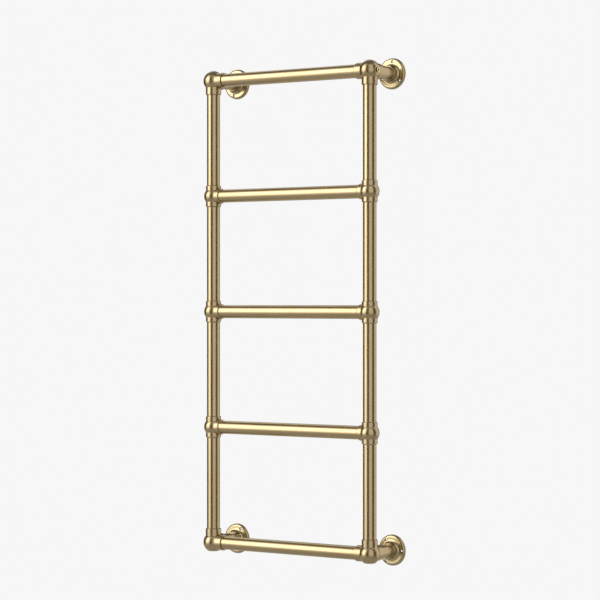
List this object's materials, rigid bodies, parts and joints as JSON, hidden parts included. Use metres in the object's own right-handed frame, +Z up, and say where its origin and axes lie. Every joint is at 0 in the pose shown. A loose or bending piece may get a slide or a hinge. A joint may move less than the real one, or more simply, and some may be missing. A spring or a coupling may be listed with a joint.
{
  "type": "heated towel rail",
  "caption": "Wall-hung ladder towel rail of satin brass tube with ball fittings at the crossings, standoffs to round wall flanges, water inlets underneath and a bleed valve at the top.",
  "frame": {"origin": "middle of the four wall flanges, on the wall plane that they stand on", "axes": "+Z up along the uprights, X along the bars, +Y into the wall, so the rail stands out towards -Y"},
  "size_m": [0.629, 0.1495, 1.432],
  "materials": {
    "tube_brass": "satin brushed brass tube",
    "ball_brass": "satin cast and turned brass",
    "flange_brass": "satin turned brass",
    "valve_brass": "satin machined brass",
    "screw_brass": "plain machined brass",
    "washer_fibre": "dark sealing ring"
  },
  "bodies": {
    "rail": {"bar_1": "tube_brass", "bar_2": "tube_brass", "bar_3": "tube_brass", "bar_4": "tube_brass", "bar_5": "tube_brass", "upright_left_1": "tube_brass", "upright_left_2": "tube_brass", "upright_left_3": "tube_brass", "upright_left_4": "tube_brass", "upright_right_1": "tube_brass", "upright_right_2": "tube_brass", "upright_right_3": "tube_brass", "upright_right_4": "tube_brass", "tee_ball_left_2": "ball_brass", "tee_ball_left_3": "ball_brass", "tee_ball_left_4": "ball_brass", "tee_ball_right_2": "ball_brass", "tee_ball_right_3": "ball_brass", "tee_ball_right_4": "ball_brass", "corner_ball_top_left": "ball_brass", "corner_ball_top_right": "ball_brass", "corner_ball_bottom_left": "ball_brass", "corner_ball_bottom_right": "ball_brass", "standoff_top_left": "tube_brass", "standoff_top_right": "tube_brass", "standoff_bottom_left": "tube_brass", "standoff_bottom_right": "tube_brass", "bleed_valve": "valve_brass", "bleed_washer": "washer_fibre"},
    "bleed_screw": {"bleed_screw": "screw_brass"},
    "flange_top_left": {"wall_flange_top_left": "flange_brass"},
    "flange_top_right": {"wall_flange_top_right": "flange_brass"},
    "flange_bottom_left": {"wall_flange_bottom_left": "flange_brass"},
    "flange_bottom_right": {"wall_flange_bottom_right": "flange_brass"}
  },
  "joints": [
    {"name": "bleed_screw_turn", "type": "hinge", "parent": "rail", "child": "bleed_screw", "pos_m": [0.2705, -0.12, 0.672], "axis": [1, 0, 0], "range_deg": [0, 360]},
    {"name": "flange_top_left_turn", "type": "hinge", "parent": "rail", "child": "flange_top_left", "pos_m": [-0.2705, 0, 0.672], "axis": [0, -1, 0], "continuous": true},
    {"name": "flange_top_right_turn", "type": "hinge", "parent": "rail", "child": "flange_top_right", "pos_m": [0.2705, 0, 0.672], "axis": [0, -1, 0], "continuous": true},
    {"name": "flange_bottom_left_turn", "type": "hinge", "parent": "rail", "child": "flange_bottom_left", "pos_m": [-0.2705, 0, -0.672], "axis": [0, -1, 0], "continuous": true},
    {"name": "flange_bottom_right_turn", "type": "hinge", "parent": "rail", "child": "flange_bottom_right", "pos_m": [0.2705, 0, -0.672], "axis": [0, -1, 0], "continuous": true}
  ]
}
